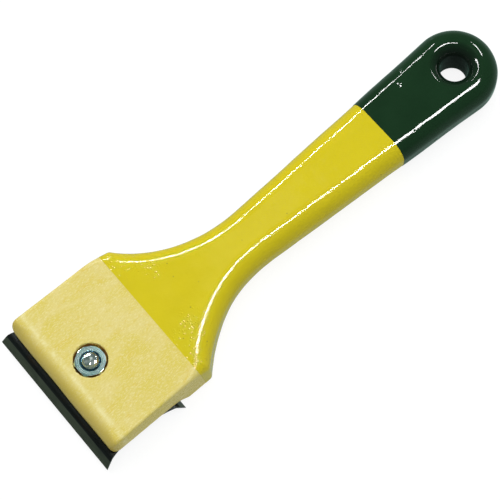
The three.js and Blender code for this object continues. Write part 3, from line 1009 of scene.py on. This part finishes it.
def area_light(name, place, target, size, radiance, mirrored):
    """A rectangular light facing a point, its first side along the tool.

    A mirrored light only shows in gloss, and the others only light surfaces.
    """
    data = bpy.data.lights.new(name, "AREA")
    data.shape = "RECTANGLE"
    data.size, data.size_y = size
    data.energy = radiance * math.pi * size[0] * size[1]
    made = bpy.data.objects.new(name, data)
    bpy.context.scene.collection.objects.link(made)
    back = (Vector(place) - Vector(target)).normalized()
    along = Vector((1, 0, 0))
    along = (along - back * along.dot(back)).normalized()
    facing = Matrix((along, back.cross(along), back)).transposed().to_4x4()
    facing.translation = place
    made.matrix_world = facing
    made.visible_glossy = mirrored
    made.visible_diffuse = not mirrored


def walls():
    """Plain walls all round, brighter below the tool's height than above it."""
    world = bpy.data.worlds.new("studio")
    bpy.context.scene.world = world
    world.use_nodes = True
    nodes, links = world.node_tree.nodes, world.node_tree.links
    direction = nodes.new("ShaderNodeTexCoord")
    height = nodes.new("ShaderNodeSeparateXYZ")
    strength = nodes.new("ShaderNodeMapRange")
    links.new(direction.outputs["Generated"], height.inputs["Vector"])
    links.new(height.outputs["Z"], strength.inputs["Value"])
    links.new(strength.outputs["Result"], nodes["Background"].inputs["Strength"])
    for socket, number in (("From Min", -WALLS_FADE), ("From Max", WALLS_FADE),
                           ("To Min", WALLS_BELOW), ("To Max", WALLS_ABOVE)):
        strength.inputs[socket].default_value = number
    nodes["Background"].inputs["Color"].default_value = WALL_COLOR


def lights():
    """Long strips for the lines along the lacquer, two cards and a soft overhead."""
    area_light("left_strip", (0.0, 0.345, 0.30), (0.0, 0, 0.02), (0.38, 0.032), 90, True)
    area_light("left_sliver", (0.218, 0.345, 0.30), (0.218, 0, 0.02), (0.05, 0.016), 90, True)
    area_light("right_strip", (0.18, -0.095, 0.32), (0.18, 0, 0.02), (0.12, 0.056), 75, True)
    area_light("right_sliver", (0.06, -0.095, 0.32), (0.06, 0, 0.02), (0.12, 0.032), 75, True)
    area_light("nut_card", (0.08, 0.13, 0.47), (-0.088, 0, 0.02), (0.09, 0.09), 0.85, True)
    area_light("end_card", (0.42, 0.10, 0.30), (0.1, 0, 0.02), (0.03, 0.10), 60, True)
    area_light("overhead", (0.25, 0.27, 1.2), (0, 0, 0), (1.8, 1.8), 2.68, False)


def floor():
    """A sheet of pale paper under the tool."""
    low = min(0.0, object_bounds()[0].z)
    corners = [(-1, -1), (1, -1), (1, 1), (-1, 1)]
    sheet = bpy.data.meshes.new("floor")
    sheet.from_pydata([(x * FLOOR_REACH, y * FLOOR_REACH, low) for x, y in corners],
                      [], [(0, 1, 2, 3)])
    paper = Finish("lit_paper", Roughness=0.9, Specular_IOR_Level=0.0,
                   Emission_Color=(1, 1, 1, 1), Emission_Strength=FLOOR_GLOW)
    grain = paper.noise((1.5, 1.5, 1.5), 3, 0.6)
    sheet.materials.append(paper.finish(paper.mix(paper.spread(grain, 0.3, 0.7), *FLOOR_TONES)))
    ground = bpy.data.objects.new("floor", sheet)
    bpy.context.scene.collection.objects.link(ground)
    ground.visible_glossy = False
    ground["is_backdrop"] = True


def studio():
    walls()
    lights()
    floor()
    bpy.context.scene.view_settings.view_transform = "Standard"
    bpy.context.scene.view_settings.look = "None"


# ------------------------------------------------------------------ assembly

def dress(piece, body, node, slot, *materials):
    """Gives a piece its materials and the body it moves with, and hides the CAD node it replaces.
    """
    for material in materials:
        piece.data.materials.append(material)
    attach(piece, body)
    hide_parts(node)
    return piece


def paint_ground_faces(blade):
    """Gives the second material to the straight faces beside the edges."""
    limit = (BLADE_LENGTH / 2 - HOOK_REACH + HOOK_BEND_RADIUS * math.sin(HOOK_OUTER_ANGLE)) * MM
    for face in blade.data.polygons:
        outward = face.normal.x * math.copysign(1, face.center.x)
        if abs(face.center.x) > limit and outward > 0.5:
            face.material_index = 1


def darken_throat(tip):
    """Gives the second material to the narrow part of the hanging hole."""
    for face in tip.data.polygons:
        x, y, z = face.center / MM
        off_axis = math.hypot(x - END_CENTRE_X, y)
        depth = min(-z, BOARD_THICKNESS + z)
        if off_axis < HOLE_RADIUS + 0.5 and depth > 0.6 * HOLE_LIP_DEPTH:
            face.material_index = 1


camera()

whole = handle_mesh()
yellow_line = (YELLOW_STARTS, YELLOW_LEAN)
green_line = (GREEN_STARTS, GREEN_LEAN)
wood = stretch_of_handle(whole, "handle_bare_head", None, yellow_line, 0)
yellow = stretch_of_handle(whole, "handle_yellow_grip", yellow_line, green_line, YELLOW_COAT)
green = stretch_of_handle(whole, "handle_green_tip", green_line, None, GREEN_COAT)
dress(wood, "handle_body", "handle", "bare_wood", bare_wood())
dress(yellow, "handle_body", "handle", "yellow_lacquered_wood", yellow_lacquer())
dress(green, "handle_body", "handle", "green_dipped_wood",
      green_dip("green_dip", LACQUER_GLOSS, 0.04, 0.08),
      green_dip("green_in_hole", 0.07, 0.5, 0.7))
darken_throat(green)

blade = blade_piece()
dress(blade, "clamp_body", "scraper_blade", "blued_blade_steel", dark_steel(), ground_steel())
paint_ground_faces(blade)
washer_zinc = zinc_plate("washer_zinc", (168, 178, 176), (196, 204, 200), (0.25, 0.4),
                         0.002, (0.7, 0.012))
dress(washer_piece(), "clamp_body", "flat_washer", "zinc_plated_steel", washer_zinc)
screw_zinc = zinc_plate("screw_zinc", (196, 210, 206), (236, 242, 240), (0.1, 0.18),
                        0.0, (1.6, 0.16))
dress(screw_piece(), "screw_body", "clamp_screw", "zinc_plated_steel", screw_zinc)
nut_zinc = zinc_plate("nut_zinc", (208, 248, 244), (238, 255, 253), (0.14, 0.24),
                      0.004, (0.7, 0.008), THREAD_CREST_RADIUS + NUT_COUNTERSINK)
dress(nut_piece(), "handle_body", "hex_nut", "zinc_plated_steel", nut_zinc)

studio()
